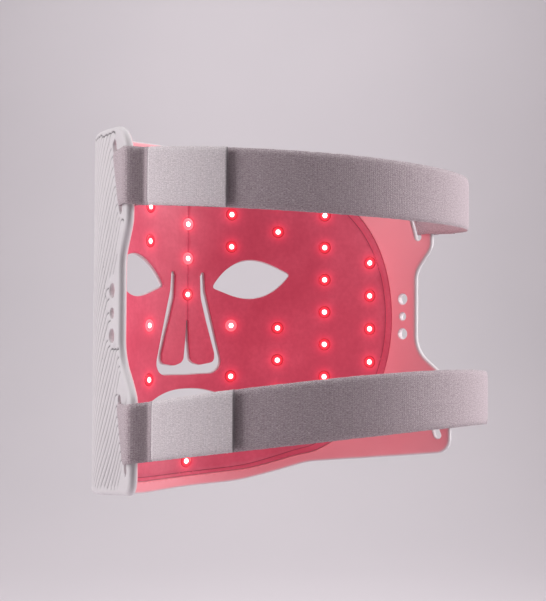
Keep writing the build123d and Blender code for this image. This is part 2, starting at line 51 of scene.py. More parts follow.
# --- the wall
# u is the distance round the face from the middle line, w the distance out
# from the inner face and z the height, all in mm, as in the CAD model.
FACE_TRACK = ((45.0, 89.2), (60.0, 99.6), (30.0, 78.4), (60.0, -142.9))
WALL_OUT, POCKET_FLOOR, PAD_OUT = 4.4, 1.8, 1.45
TOP_Z, BOTTOM_Z, FRONT_Y = 78.0, -126.2, -30.0
TEMPLE_U, TEMPLE_Z, NOTCH_U = 160.3, 60.5, 150.0
NOTCH_TOP_Z, NOTCH_BOTTOM_Z = 9.0, -47.0
JAW_U, JAW_TOP_Z, JAW_BOTTOM_Z = 171.6, -59.0, -99.5
PAD_CENTRE = (-15.3, -23.6)
PAD_REACH, PAD_RISE, PAD_MARGIN, PAD_TOP_Z = 96.0, 97.0, 5.5, 68.5
EYE_U = 41.5
MOUTH_HALF, MOUTH_MID, MOUTH_TOP, MOUTH_LOW = 33.0, -77.0, -67.1, -88.5
HOLES = ((140.8, -12.5, 3.25), (140.8, -22.7, 2.45), (140.8, -32.9, 3.25))
ROOT_Z, LOBE_Z = 1.25, -26.0
FLAP_HALF = 9.1
SPLIT_U, BLEND_END_U = 95.0, 109.0
GROOVE_STEP, GROOVE_DEPTH, GROOVE_HALF, GROOVE_LEAN = 3.3, 0.9, 0.52, 34
HOOK_STEPS, HOOK_TURN, HOOK_STEP = 5, 17, 1.0
RIM_R, OPENING_R, HOLE_R, PAD_R = 2.2, 1.3, 0.6, 0.35
WINDOW_SEAT, WINDOW_R = 3.78, 3.68
GLOW_NEAR, GLOW_WIDE = 5.2, 11.0


def wall_xy(s, w):
    """Plan position of the wall at distance s and offset w, for arrays."""
    s, w = np.broadcast_arrays(np.asarray(s, float), np.asarray(w, float))
    a = np.abs(s)
    x, y, h = np.zeros(a.shape), np.zeros(a.shape), np.zeros(a.shape)
    x0 = y0 = h0 = s0 = 0.0
    for i, (length, r) in enumerate(FACE_TRACK):
        last = i == len(FACE_TRACK) - 1
        m = (a >= s0) & ((a <= s0 + length) | last)
        hh = h0 + (a[m] - s0) / r
        x[m] = x0 + r * (np.sin(hh) - math.sin(h0))
        y[m] = y0 + r * (math.cos(h0) - np.cos(hh))
        h[m] = hh
        h1 = h0 + length / r
        x0, y0 = x0 + r * (math.sin(h1) - math.sin(h0)), y0 + r * (math.cos(h0) - math.cos(h1))
        s0, h0 = s0 + length, h1
    x, y = x + w * np.sin(h), y - w * np.cos(h)
    return np.where(s < 0, -x, x), y, h


def on_wall(uz, w):
    """World positions, in metres, of flat-pattern points at offset w."""
    x, y, _ = wall_xy(uz[:, 0], w)
    return np.stack([x, y, uz[:, 1]], 1) * MM


U_TABLE = np.linspace(0, 185, 1851)
Y_TABLE = wall_xy(U_TABLE, 0.0)[1]


def wall_y(u):
    return float(np.interp(u, U_TABLE, Y_TABLE))


def wall_u(y):
    return np.interp(y, Y_TABLE, U_TABLE)


# --- flat-pattern curves
def rounded(corners, radii, closed=False, step=0.4):
    """Points along a polyline whose corners are rounded to the radii."""
    pts = [np.array(c, float) for c in corners]
    n = len(pts)
    out = []
    for i, p in enumerate(pts):
        if not closed and i in (0, n - 1) or radii[i] <= 0:
            out.append(p)
            continue
        a, b = pts[i - 1] - p, pts[(i + 1) % n] - p
        la, lb = np.linalg.norm(a), np.linalg.norm(b)
        a, b = a / la, b / lb
        half = math.acos(max(-1, min(1, float(a @ b)))) / 2
        reach = min(radii[i] / math.tan(half), 0.49 * la, 0.49 * lb)
        r = reach * math.tan(half)
        centre = p + (a + b) / np.linalg.norm(a + b) * (r / math.sin(half))
        v0, v1 = p + a * reach - centre, p + b * reach - centre
        turn = math.pi - 2 * half
        k = max(3, int(r * turn / step))
        cross = v0[0] * v1[1] - v0[1] * v1[0]
        for t in np.linspace(0, turn, k) * (1 if cross > 0 else -1):
            c, s = math.cos(t), math.sin(t)
            out.append(centre + np.array([c * v0[0] - s * v0[1], s * v0[0] + c * v0[1]]))
    return np.array(out)


def bezier(p, n=40):
    t = np.linspace(0, 1, n)[:, None]
    a, b, c, d = (np.array(q, float) for q in p)
    return (1 - t) ** 3 * a + 3 * (1 - t) ** 2 * t * b + 3 * (1 - t) * t * t * c + t ** 3 * d


def length_along(p):
    return np.concatenate([[0], np.cumsum(np.linalg.norm(np.diff(p, axis=0), axis=1))])


def evenly(p, n):
    """n points at even steps along a line."""
    s = length_along(p)
    t = np.linspace(0, s[-1], n)
    return np.stack([np.interp(t, s, p[:, 0]), np.interp(t, s, p[:, 1])], 1)


def resample(pts, step, closed=True):
    """The line or closed loop at about even steps."""
    p = np.vstack([pts, pts[:1]]) if closed else pts
    seg = np.linalg.norm(np.diff(p, axis=0), axis=1)
    p = p[np.concatenate([[True], seg > 1e-9])]
    q = evenly(p, max(3, int(round(length_along(p)[-1] / step))) + 1)
    return q[:-1] if closed else q


def mirrored(half):
    """A closed loop from its u > 0 half, which runs from the middle line to it."""
    return np.vstack([half, (half * [-1, 1])[::-1][1:-1]])


def smooth_loop(pts, passes=4):
    for _ in range(passes):
        pts = 0.5 * pts + 0.25 * (np.roll(pts, 1, 0) + np.roll(pts, -1, 0))
    return pts


def side_outline():
    """The mask's outline from the side, (y, z) in mm."""
    corners = [
        (FRONT_Y, TOP_Z), (1.0, TOP_Z - 0.3), (46.0, 65.5), (wall_y(TEMPLE_U), TEMPLE_Z),
        (wall_y(TEMPLE_U), NOTCH_TOP_Z + 8.0), (wall_y(NOTCH_U), NOTCH_TOP_Z - 6.0),
        (wall_y(NOTCH_U), NOTCH_BOTTOM_Z + 5.0), (wall_y(JAW_U), JAW_TOP_Z),
        (wall_y(JAW_U), JAW_BOTTOM_Z), (62.0, -108.9), (31.0, -113.4), (5.0, -125.6),
        (FRONT_Y, BOTTOM_Z)]
    return rounded(corners, (0, 30, 60, 20, 9, 14, 18, 9, 9, 60, 30, 20, 0))


SIDE = side_outline()


def flat_half(side_points):
    """Side-view points (y, z) behind the front, as flat-pattern points."""
    dense = resample(side_points, 0.2, closed=False)
    keep = dense[dense[:, 0] >= 0]
    ends = [(0.0, keep[0, 1]), (0.0, keep[-1, 1])]
    body = np.stack([wall_u(keep[:, 0]), keep[:, 1]], 1)
    return np.vstack([ends[:1], body, ends[1:]])


def segments_distance(points, a, b):
    """Least distance from each point to the segments a-b."""
    best = np.full(len(points), 1e9)
    d = b - a
    dd = np.maximum((d * d).sum(1), 1e-12)
    for i in range(0, len(points), 4000):
        p = points[i:i + 4000, None, :]
        t = np.clip(((p - a) * d).sum(2) / dd, 0, 1)
        best[i:i + 4000] = np.sqrt((((a + t[..., None] * d) - p) ** 2).sum(2)).min(1)
    return best


def distance_to(points, loops, lines=()):
    """Least distance from each point to closed loops and open lines."""
    a = list(loops) + [line[:-1] for line in lines]
    b = [np.roll(loop, -1, 0) for loop in loops] + [line[1:] for line in lines]
    return segments_distance(points, np.vstack(a), np.vstack(b))


def inside(points, loops):
    """Even-odd test of points against closed loops."""
    odd = np.zeros(len(points), bool)
    for loop in loops:
        a, b = loop, np.roll(loop, -1, 0)
        for i in range(0, len(points), 8000):
            x, y = points[i:i + 8000, 0, None], points[i:i + 8000, 1, None]
            over = (a[:, 1] > y) != (b[:, 1] > y)
            with np.errstate(divide="ignore", invalid="ignore"):
                at = a[:, 0] + (y - a[:, 1]) * (b[:, 0] - a[:, 0]) / (b[:, 1] - a[:, 1])
            odd[i:i + 8000] ^= (np.where(over, x < at, False).sum(1) % 2).astype(bool)
    return odd


def pad_side():
    """Side outline of the lit pad, seen from its own centre."""
    cy, cz = PAD_CENTRE
    edge = np.vstack([SIDE, [[FRONT_Y, TOP_Z]]])
    out = []
    for t in np.linspace(math.radians(100), math.radians(-101), 300):
        c, s = math.cos(t), math.sin(t)
        r = 1 / math.hypot(c / PAD_REACH, s / PAD_RISE)
        if s > 0:
            r = min(r, (PAD_TOP_Z - cz) / s)
        tries = np.linspace(r, r - 40, 161)
        p = np.stack([cy + tries * c, cz + tries * s], 1)
        ok = (segments_distance(p, SIDE[:-1], SIDE[1:]) >= PAD_MARGIN) & inside(p, [edge])
        out.append(p[np.argmax(ok)])
    return np.array(out)


RIM = resample(mirrored(flat_half(SIDE)), 1.4)
PAD_EDGE = smooth_loop(resample(mirrored(flat_half(pad_side())), 1.4), 6)


def eye_loop(side, grow=0.0):
    inner, top, outer, low = (-24.1, -5.7), (0.3, 11.6), (24.2, 3.0), (-1.1, -11.9)
    curve = np.vstack([
        bezier((inner, (-19.0, 3.0), (-10.0, 11.6), top))[:-1],
        bezier((top, (9.0, 11.6), (17.0, 6.5), outer))[:-1],
        bezier((outer, (18.0, -5.4), (10.0, -11.9), low))[:-1],
        bezier((low, (-10.0, -11.9), (-17.0, -7.6), inner))[:-1]])
    loop = smooth_loop(resample(curve, 0.8), 5)
    return grown(loop, grow) * [side, 1] + [side * EYE_U, 0]


def mouth_loop(grow=0.0):
    w, m = MOUTH_HALF, MOUTH_MID
    curve = np.vstack([
        bezier(((0, MOUTH_TOP), (w * 0.3, MOUTH_TOP), (w * 0.6, MOUTH_TOP - 1.5), (w, m))),
        bezier(((w, m), (w * 0.7, MOUTH_LOW + 2), (w * 0.4, MOUTH_LOW), (0, MOUTH_LOW)))[1:]])
    return grown(smooth_loop(resample(mirrored(curve), 0.8), 4), grow)


def normals_along(t):
    """Unit vectors square to the given directions in the flat pattern."""
    return np.stack([t[:, 1], -t[:, 0]], 1) / np.maximum(np.linalg.norm(t, axis=1), 1e-9)[:, None]


def loop_normals(loop):
    return normals_along(np.roll(loop, -1, 0) - np.roll(loop, 1, 0))


def grown(loop, grow):
    """The loop moved outwards by grow."""
    if not grow:
        return loop
    n = loop_normals(loop)
    area = (loop[:, 0] * np.roll(loop[:, 1], -1) - np.roll(loop[:, 0], -1) * loop[:, 1]).sum()
    return loop + n * grow * (1 if area > 0 else -1)


ROOT_LINE = np.array([[-FLAP_HALF - 0.01, ROOT_Z], [FLAP_HALF + 0.01, ROOT_Z]])


def nose_slot(g=0.0):
    """Outer edge of the slot round the nose flap, moved outwards by g."""
    outer = [
        (FLAP_HALF + 0.01, ROOT_Z), (9.4, ROOT_Z + 1.7 + g), (11.4 + g, ROOT_Z + 1.7 + g),
        (12.1 + g, -8.0), (16.6 + g, LOBE_Z), (24.6 + g, -57.6 - g), (0.0, -58.2 - g)]
    return resample(rounded(outer, (0, 0.9, 1.2, 14, 30, 7.5, 0)), 0.8, closed=False)[::-1]


def tongue_side(i=0.0):
    """Right-hand side of the tongue, moved inwards by i."""
    pts = rounded([(FLAP_HALF - i, ROOT_Z), (9.6 - i, -12.0), (13.3 - i, LOBE_Z)], (0, 20, 0))
    return resample(pts, 0.8, closed=False)


def lobe_loop(side, i=0.0):
    """Outline of a nose lobe, moved inwards by i; it starts with its root."""
    pts = rounded(
        [(0.35 + i, LOBE_Z), (13.3 - i, LOBE_Z), (19.1 - i, -46.0), (18.9 - i, -51.6 + i),
         (9.0, -53.2 + i), (2.2 + i, -51.2 + i), (0.9 + i, -38.0)],
        (0, 0, 5, 6, 5, 4.5, 20), closed=True)
    return resample(pts * [side, 1], 0.7)


def nose_opening(half):
    """Edge of the opening that the nose flap hangs in, closed by the flap's root."""
    root = resample(ROOT_LINE, 0.9, closed=False)[1:-1]
    return np.vstack([half[1:], root[::-1], (half * [-1, 1])[::-1][:-1]])


# --- diode positions
ROW, COL = 20.0, 29.35
ODD = [59.8 - ROW * i for i in range(9)]
EVEN = [49.7 - ROW * i for i in range(8)]
CENTRE_LEDS = [(0.0, 52.8), (0.0, 32.1), (0.0, 11.4), (0.0, -110.1)]
NOSE_LED = (0.0, -10.3)
SIDE_LEDS = (
    [(COL, z) for z in (ODD[0], ODD[1], ODD[2], -28.9, ODD[6], -100.2)]
    + [(2 * COL, z) for z in EVEN[:2] + EVEN[4:8]]
    + [(3 * COL, z) for z in ODD[1:8]])
WING_LEDS = [(4 * COL, z) for z in EVEN[2:6]]


def is_ringed(u, z):
    return (u == 0 and 0 < z < 40) or (abs(abs(u) - COL) < 0.1 and z == -28.9)


FACE_LEDS = CENTRE_LEDS + SIDE_LEDS + [(-u, z) for u, z in SIDE_LEDS]
RIGHT_LEDS = [(-u, z) for u, z in WING_LEDS]
ALL_LEDS = np.array(FACE_LEDS + WING_LEDS + RIGHT_LEDS + [NOSE_LED])


# --- strap slots
STRAPS = {
    "upper": dict(slot_u=146.6, slot_z=38.5, lean=17.0, rim_u=TEMPLE_U, leave_u=151.5,
                  z=37.2, level_y=106.0, rise=-0.085, back_y=183.5, tab=38.0),
    "lower": dict(slot_u=158.2, slot_z=-75.5, lean=21.0, rim_u=JAW_U - 0.5, leave_u=163.0,
                  z=-74.3, level_y=112.0, rise=0.192, back_y=194.0, tab=37.5)}
SLOT_LONG, SLOT_WIDE = 36.0, 4.4


def strap_slot(s, side):
    a = math.radians(90 + s["lean"])
    along, across = np.array([math.cos(a), math.sin(a)]), np.array([-math.sin(a), math.cos(a)])
    r = SLOT_WIDE / 2
    run = SLOT_LONG / 2 - r
    pts = []
    for end in (1, -1):
        for t in np.linspace(-math.pi / 2, math.pi / 2, 14):
            pts.append(end * (along * (run + r * math.cos(t)) + across * r * math.sin(t)))
    pts = np.array(pts) + [wall_y(s["slot_u"]), s["slot_z"]]
    flat = np.stack([wall_u(pts[:, 0]), pts[:, 1]], 1)
    return resample(flat, 0.9) * [side, 1]


def circle(u, z, r, n=28):
    t = np.linspace(0, 2 * math.pi, n, endpoint=False)
    return np.stack([u + r * np.cos(t), z + r * np.sin(t)], 1)


# --- grooves of the shell
def flow(p):
    """Level function of the grooves: slanting lines parted by each opening."""
    lean = math.radians(GROOVE_LEAN)
    n = np.array([math.cos(lean), -math.sin(lean)])
    q = np.stack([np.abs(p[..., 0]), p[..., 1]], -1)
    f = q @ n
    for cu, cz, ru, rz in ((EYE_U, 0.5, 27, 15), (0.0, -30.0, 22, 26), (0.0, -77.5, 36, 13)):
        d = q - [cu, cz]
        e = np.maximum((d[..., 0] / ru) ** 2 + (d[..., 1] / rz) ** 2, 0.5)
        f = f - 0.8 * (d @ n) / e ** 1.15
    return f


def contours(level_step, u_end=176, cell=1.25):
    """Polylines where the level function is a whole number of steps."""
    us, zs = np.arange(0, u_end, cell), np.arange(-130, 82, cell)
    gu, gz = np.meshgrid(us, zs, indexing="ij")
    f = flow(np.stack([gu, gz], -1)) / level_step
    links, place = {}, {}
    lows = np.floor(f).astype(int)
    for i in range(len(us) - 1):
        for j in range(len(zs) - 1):
            corner = ((i, j), (i + 1, j), (i + 1, j + 1), (i, j + 1))
            vals = [f[c] for c in corner]
            for level in range(min(lows[c] for c in corner) + 1, max(lows[c] for c in corner) + 1):
                hits = []
                for k in range(4):
                    a, b = vals[k], vals[(k + 1) % 4]
                    if (a < level) != (b < level):
                        c0, c1 = corner[k], corner[(k + 1) % 4]
                        key = (level,) + (c0 + c1 if c0 < c1 else c1 + c0)
                        t = (level - a) / (b - a)
                        place[key] = (us[c0[0]] + t * (us[c1[0]] - us[c0[0]]),
                                      zs[c0[1]] + t * (zs[c1[1]] - zs[c0[1]]))
                        hits.append(key)
                for a, b in zip(hits[::2], hits[1::2]):
                    links.setdefault(a, []).append(b)
                    links.setdefault(b, []).append(a)
    lines, used = [], set()
    for start in sorted(links, key=lambda k: (len(links[k]), k)):
        if start in used:
            continue
        line, here = [start], start
        used.add(start)
        while True:
            nxt = [k for k in links[here] if k not in used]
            if not nxt:
                break
            here = nxt[0]
            used.add(here)
            line.append(here)
        if len(line) > 4:
            lines.append(np.array([place[k] for k in line]))
    return lines


def groove_lines(edge_loops):
    """Grooves on the u > 0 half, stopped short of edges, each with its hook."""
    a = np.vstack(edge_loops)
    b = np.vstack([np.roll(loop, -1, 0) for loop in edge_loops])
    near = (a[:, 0] > -12)
    a, b = a[near], b[near]
    out = []
    for line in contours(GROOVE_STEP):
        line = resample(line, 1.5, closed=False)
        ok = (segments_distance(line, a, b) > 3.6) & inside(line, edge_loops) & (line[:, 0] > 2.2)
        start = None
        for i in range(len(line) + 1):
            if i < len(line) and ok[i]:
                start = i if start is None else start
                continue
            if start is not None and i - start > 5:
                out.append(line[start:i])
            start = None
    hooked = []
    for line in out:
        if line[0, 1] < line[-1, 1]:
            line = line[::-1]
        top, heading = line[0], line[0] - line[2]
        ang = math.atan2(heading[1], heading[0])
        if np.linalg.norm(np.diff(line, axis=0), axis=1).sum() > 14 and top[0] > 60:
            arc = []
            for _ in range(HOOK_STEPS):
                ang -= math.radians(HOOK_TURN)
                top = top + HOOK_STEP * np.array([math.cos(ang), math.sin(ang)])
                arc.append(top)
            arc = np.array(arc)
            ok = (segments_distance(arc, a, b) > 1.6) & inside(arc, edge_loops)
            if ok[0]:
                n = int(np.argmin(ok)) if not ok.all() else len(arc)
                line = np.vstack([arc[:n][::-1], line])
        hooked.append(line)
    return hooked


# --- mesh makers
def ring_points(loop, distances):
    """The loop moved both ways by each distance, with that distance for each point."""
    n = loop_normals(loop)
    out, at = [], []
    for d in distances:
        for s in (1, -1):
            out.append(loop + n * (d * s))
            at.append(np.full(len(loop), d))
    return np.vstack(out), np.concatenate(at)


def offset_rings(group, steps, loops):
    """Rings inside the sheet at the given distances from each loop of the group."""
    out = []
    for loop in group:
        ring, at = ring_points(loop, steps)
        out.append(ring[(distance_to(ring, [loop]) > at * 0.96) & inside(ring, loops)])
    return out


def lattice(loops, step):
    """A triangular grid of points over the box of the first loop."""
    lo, hi = loops[0].min(0), loops[0].max(0)
    us = np.arange(lo[0], hi[0], step)
    rows = []
    for k, z in enumerate(np.arange(lo[1], hi[1], step * 0.866)):
        rows.append(np.stack([us + (step / 2 if k % 2 else 0), np.full(len(us), z)], 1))
    return np.vstack(rows)


def thin(points, taken, reach):
    """The points that are not within reach of those already taken."""
    tree = KDTree(len(taken))
    for i, p in enumerate(taken):
        tree.insert((p[0], p[1], 0), i)
    tree.balance()
    return np.array([p for p in points if tree.find((p[0], p[1], 0))[2] > reach]).reshape(-1, 2)


def triangulate(loops, free, lines=()):
    """Triangles over all points that keep every loop and line as edges."""
    pts = np.vstack(loops + list(lines) + [free])
    edges, at = [], 0
    for loop in loops:
        n = len(loop)
        edges += [(at + i, at + (i + 1) % n) for i in range(n)]
        at += n
    for line in lines:
        edges += [(at + i, at + i + 1) for i in range(len(line) - 1)]
        at += len(line)
    verts, _, faces, _, _, _ = delaunay_2d_cdt(
        [Vector((float(p[0]), float(p[1]))) for p in pts], edges, [], 0, 1e-5, False)
    uz = np.array([(v[0], v[1]) for v in verts])
    tri = np.array([f for f in faces if len(f) == 3])
    return uz, tri


def shell_of(uz, tri, w_out, w_in, walls=True):
    """Outer face, inner face and edge walls: (positions, triangles, is inner)."""
    n = len(uz)
    area = np.cross(uz[tri[:, 1]] - uz[tri[:, 0]], uz[tri[:, 2]] - uz[tri[:, 0]])
    tri = tri[np.abs(area) > 1e-7]
    area = area[np.abs(area) > 1e-7]
    tri = np.where((area > 0)[:, None], tri, tri[:, ::-1])
    pos = np.vstack([on_wall(uz, w_out), on_wall(uz, w_in)])
    merged = np.arange(2 * n)
    same = np.abs(w_out - w_in) < 0.02
    merged[n:][same] = np.arange(n)[same]
    faces = [tri, merged[tri[:, ::-1] + n]]
    e = np.vstack([tri[:, [0, 1]], tri[:, [1, 2]], tri[:, [2, 0]]])
    key = np.sort(e, 1) @ [1, n]
    order, count = np.unique(key, return_counts=True)
    border = e[np.isin(key, order[count == 1])]
    a, b = border[:, 0], border[:, 1]
    a2, b2 = merged[a + n], merged[b + n]
    quad = np.vstack([np.stack([b, a, a2], 1), np.stack([b, a2, b2], 1)])
    ok = (quad[:, 0] != quad[:, 1]) & (quad[:, 1] != quad[:, 2]) & (quad[:, 0] != quad[:, 2])
    if walls:
        faces.append(quad[ok])
    flag = np.concatenate([np.zeros(n), np.clip((0.75 - w_in) / 0.7, 0, 1)])
    return pos, np.vstack(faces), flag, np.vstack([uz, uz])


def normals_of(pos, faces):
    fn = np.cross(pos[faces[:, 1]] - pos[faces[:, 0]], pos[faces[:, 2]] - pos[faces[:, 0]])
    ln = np.linalg.norm(fn, axis=1)
    fn = fn / np.maximum(ln, 1e-15)[:, None]
    out = np.zeros_like(pos)
    for k in range(3):
        a = pos[faces[:, (k + 1) % 3]] - pos[faces[:, k]]
        b = pos[faces[:, (k + 2) % 3]] - pos[faces[:, k]]
        cosine = (a * b).sum(1) / np.maximum(
            np.linalg.norm(a, axis=1) * np.linalg.norm(b, axis=1), 1e-15)
        np.add.at(out, faces[:, k], fn * np.arccos(np.clip(cosine, -1, 1))[:, None])
    return out / np.maximum(np.linalg.norm(out, axis=1), 1e-12)[:, None]


def piece(name, pos, faces, attrs=None, normals=None, uv=None):
    """A mesh object from arrays, with only the points its faces use."""
    faces = [tuple(int(i) for i in f) for f in faces]
    used = sorted({i for f in faces for i in f})
    back = {old: new for new, old in enumerate(used)}
    me = bpy.data.meshes.new(name)
    me.from_pydata([tuple(pos[i]) for i in used], [], [[back[i] for i in f] for f in faces])
    me.shade_smooth()
    for key, values in (attrs or {}).items():
        a = me.attributes.new(key, "FLOAT", "POINT")
        a.data.foreach_set("value", np.asarray(values, np.float32)[used])
    if uv is not None:
        layer = me.uv_layers.new(name="UVMap")
        loops = np.zeros(len(me.loops), np.int32)
        me.loops.foreach_get("vertex_index", loops)
        layer.data.foreach_set("uv", np.asarray(uv, np.float32)[np.array(used)[loops]].ravel())
    if normals is not None:
        me.normals_split_custom_set_from_vertices([tuple(n) for n in normals[used]])
    ob = bpy.data.objects.new(name, me)
    bpy.context.scene.collection.objects.link(ob)
    return ob


def bull(d, r):
    """How far a face drops at distance d from an edge rounded to radius r."""
    t = np.clip(r - d, 0, r)
    return r - np.sqrt(np.maximum(r * r - t * t, 0))


def glow_at(uz):
    """Light from the diodes at each point, tight round them and spread out."""
    near, wide = np.zeros(len(uz)), np.zeros(len(uz))
    for u, z in ALL_LEDS:
        r = np.hypot(uz[:, 0] - u, uz[:, 1] - z)
        near += np.exp(-((r / GLOW_NEAR) ** 2))
        wide += np.exp(-r / GLOW_WIDE)
    return near, wide


def split_three(name, pos, faces, uz, attrs):
    """Middle piece on the mask body and two wing pieces, left where they are built."""
    normals = normals_of(pos, faces)
    mid = uz[:, 0][faces].mean(1)
    out = []
    for part, pick in (("face", np.abs(mid) < SPLIT_U), ("left", mid >= SPLIT_U),
                       ("right", mid <= -SPLIT_U)):
        ob = piece(f"{name}_{part}", pos, faces[pick], attrs, normals)
        if part == "face":
            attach(ob, "mask")
            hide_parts(f"{name}_face")
        else:
            side = 1 if part == "left" else -1
            a, b = (on_wall(np.array([[side * u, -25.0]]), 2.0)[0] for u in (SPLIT_U, BLEND_END_U))
            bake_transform(ob)
            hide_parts(f"{name}_{part}_wing")
        out.append(ob)
    return out


# --- shell
eyes = [eye_loop(1), eye_loop(-1)]
slot_half = nose_slot()
slot = mirrored(slot_half)
nose_loop = nose_opening(slot_half)
openings = eyes + [mouth_loop()]
slots = [strap_slot(s, side) for s in STRAPS.values() for side in (1, -1)]
holes = [circle(side * u, z, r) for u, z, r in HOLES for side in (1, -1)]
open_nose = [slot_half, (slot_half * [-1, 1])]


def build_shell():
    """The ribbed shell: outer face, inner face with the pocket, and all edges."""
    loops = [RIM] + openings + [nose_loop] + slots + holes
    inner_edge = resample(grown(PAD_EDGE, -0.3), 1.4)
    pad_edge = resample(PAD_EDGE, 1.4)
    grooves = groove_lines([RIM] + openings + [slot] + slots + holes)
    grooves = grooves + [g * [-1, 1] for g in grooves]
    lines = []
    for g in grooves:
        n = (GROOVE_HALF + 0.02) * normals_along(np.gradient(g, axis=0))
        lines += [g + n, g - n]
    deep = np.vstack([resample(g, 0.3, closed=False) for g in grooves])
    beside = np.vstack(lines)
    rings = offset_rings([RIM], (0.1, 0.4, 0.85, 1.45, RIM_R), loops)
    rings += offset_rings(openings + [slot], (0.1, 0.35, 0.75, OPENING_R), loops)
    rings += offset_rings(slots + holes, (0.15, 0.35, HOLE_R), loops)
    taken = np.vstack([beside, *grooves, pad_edge, inner_edge] + rings + loops)
    grid = lattice(loops, 2.3)
    grid = grid[inside(grid, loops)]
    grid = thin(grid, taken, 1.15)
    free = np.vstack([beside, *rings, grid])
    uz, tri = triangulate(loops + [pad_edge, inner_edge], free, grooves)
    tri = tri[inside(uz[tri].mean(1), loops)]
    d_rim = distance_to(uz, [RIM])
    d_open = distance_to(uz, openings, open_nose)
    d_hole = distance_to(uz, slots + holes)
    tree = KDTree(len(deep))
    for i, p in enumerate(deep):
        tree.insert((p[0], p[1], 0), i)
    tree.balance()
    d_groove = np.array([tree.find((p[0], p[1], 0))[2] for p in uz])
    depth = GROOVE_DEPTH * np.clip(1 - d_groove / GROOVE_HALF, 0, 1)
    in_pad = inside(uz, [PAD_EDGE]) & (distance_to(uz, [PAD_EDGE]) > 0.15)
    edge_drop = np.maximum(bull(d_rim, RIM_R), bull(d_hole, HOLE_R))
    open_drop = bull(d_open, OPENING_R)
    w_out = WALL_OUT - np.maximum(edge_drop, open_drop) - depth
    w_in = np.where(in_pad, POCKET_FLOOR + open_drop, edge_drop)
    pos, faces, flag, both = shell_of(uz, tri, w_out, w_in)
    # the spread-out diode light, which the shell material paints as a pink glow on the inner face
    _, wide = glow_at(both)
    # groove depth, which the shell material turns into painted shade in the grooves
    groove = np.concatenate([depth / GROOVE_DEPTH, np.zeros(len(uz))])
    return pos, faces, both, {"inner": flag, "lit": wide, "groove": groove}


shell_pieces = split_three("shell", *build_shell())


# --- pad
def build_pad():
    """The lit pad in its pocket, with a seat for each window."""
    edge = resample(grown(PAD_EDGE, -0.5), 1.2)
    nose_half = nose_slot(0.5)
    nose = nose_opening(nose_half)
    opens = [eye_loop(1, 0.5), eye_loop(-1, 0.5), mouth_loop(0.5)]
    leds = [circle(u, z, WINDOW_SEAT) for u, z in ALL_LEDS if (u, z) != NOSE_LED]
    loops = [edge] + opens + [nose] + leds
    rings = offset_rings([edge] + opens + [nose], (0.12, PAD_R), loops)
    for u, z in ALL_LEDS:
        for r in (3.95, 4.7, 6.0, 8.0):
            ring = circle(u, z, r, 28)
            rings.append(ring[inside(ring, loops) & (distance_to(ring, loops) > 0.1)])
    # seal groove: nearer the edge under the chin than at the temples
    inset = 2.7 + 2.1 * np.clip((np.abs(PAD_EDGE[:, 0]) - 35) / 75, 0, 1)
    n = loop_normals(PAD_EDGE)
    sign = -1 if inside(PAD_EDGE + n, [PAD_EDGE]).mean() < 0.5 else 1
    seal = resample(smooth_loop(PAD_EDGE + n * (inset * sign)[:, None], 6), 1.2)
    lines = [seal, grown(seal, 0.32), grown(seal, -0.32)]
    seam = np.array([(0.0, z) for z in np.arange(ROOT_Z + 0.4, PAD_TOP_Z - 0.6, 1.2)])
    seam = seam[inside(seam, loops)]
    lines += [seam, seam + [0.24, 0], seam - [0.24, 0]]
    lines = [line[inside(line, loops) & (distance_to(line, loops) > 0.15)] for line in lines]
    taken = np.vstack(loops + rings + lines)
    grid = lattice(loops, 2.6)
    grid = thin(grid[inside(grid, loops)], taken, 1.2)
    uz, tri = triangulate(loops, np.vstack(rings + lines + [grid]))
    tri = tri[inside(uz[tri].mean(1), loops)]
    d_edge = distance_to(uz, [edge] + opens, [nose_half, nose_half * [-1, 1]])
    d_led = distance_to(uz, leds)
    cut = 0.45 * np.clip(1 - distance_to(uz, [seal]) / 0.3, 0, 1)
    on_seam = (np.abs(uz[:, 0]) < 0.05) & (uz[:, 1] > 0)
    cut = np.maximum(cut, np.where(on_seam, 0.3, 0.0))
    w_in = np.maximum(bull(d_edge, PAD_R), bull(d_led, 0.17)) + cut
    pos, faces, flag, both = shell_of(uz, tri, np.full(len(uz), PAD_OUT), w_in)
    # near: painted diode light round each diode, which the pad material turns into glow
    near, wide = glow_at(both)
    # groove: depth of the seal groove and seam, painted as shade by the pad material
    return pos, faces, both, {"near": near, "lit": wide, "groove": np.concatenate([cut * 2] * 2)}


pad_pieces = split_three("pad", *build_pad())


